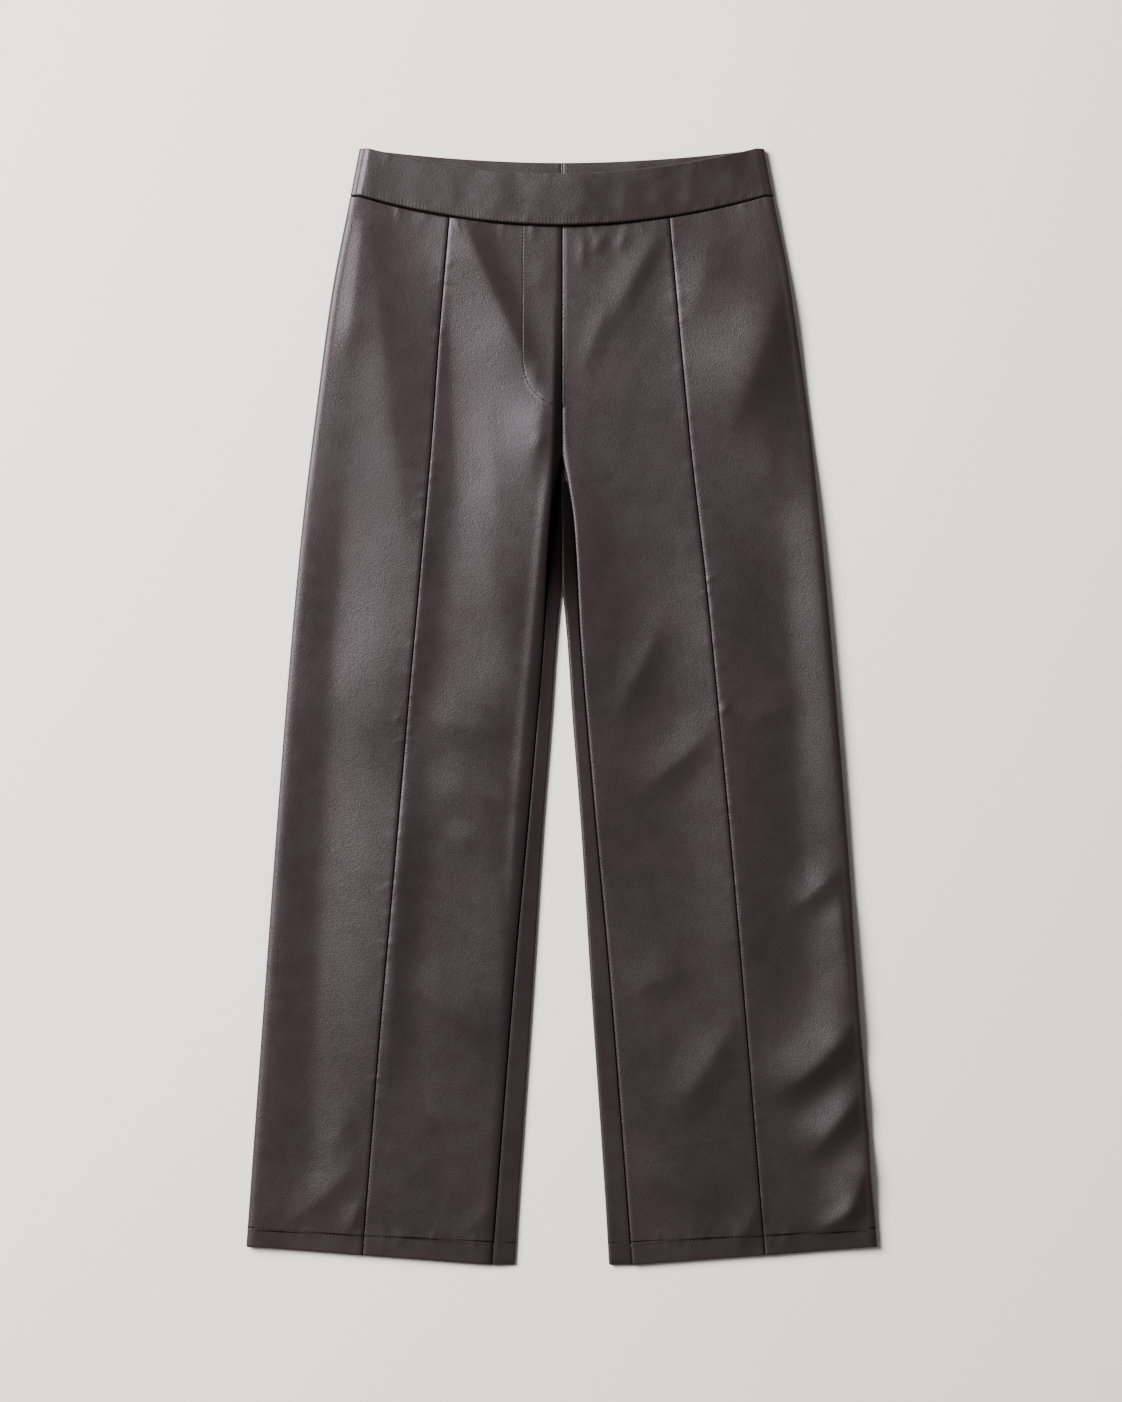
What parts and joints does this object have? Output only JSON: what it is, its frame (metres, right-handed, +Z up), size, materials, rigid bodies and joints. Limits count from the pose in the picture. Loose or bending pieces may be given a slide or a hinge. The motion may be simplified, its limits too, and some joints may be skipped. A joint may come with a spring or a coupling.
{
  "type": "faux leather trousers laid flat",
  "caption": "Pull-on faux leather trousers with a shaped waistband, mock fly, long raised front seams and straight legs, laid flat with the front up.",
  "frame": {"origin": "on the surface that the trousers lie on, under the middle of their outline", "axes": "+Y toward the waist, +X toward the wearer's left leg, +Z up out of the front"},
  "size_m": [0.594, 1.05, 0.0083],
  "materials": {
    "faux_leather": "semi-matte dark brown coated cloth with a fine grain",
    "thread": "matte polyester sewing thread, tone on tone"
  },
  "bodies": {
    "root": {"waistband_front": "faux_leather", "waistband_back_right": "faux_leather", "waistband_back_left": "faux_leather", "front_centre_right": "faux_leather", "front_centre_left": "faux_leather", "front_side_right": "faux_leather", "front_side_left": "faux_leather", "back_right": "faux_leather", "back_left": "faux_leather"}
  },
  "joints": []
}
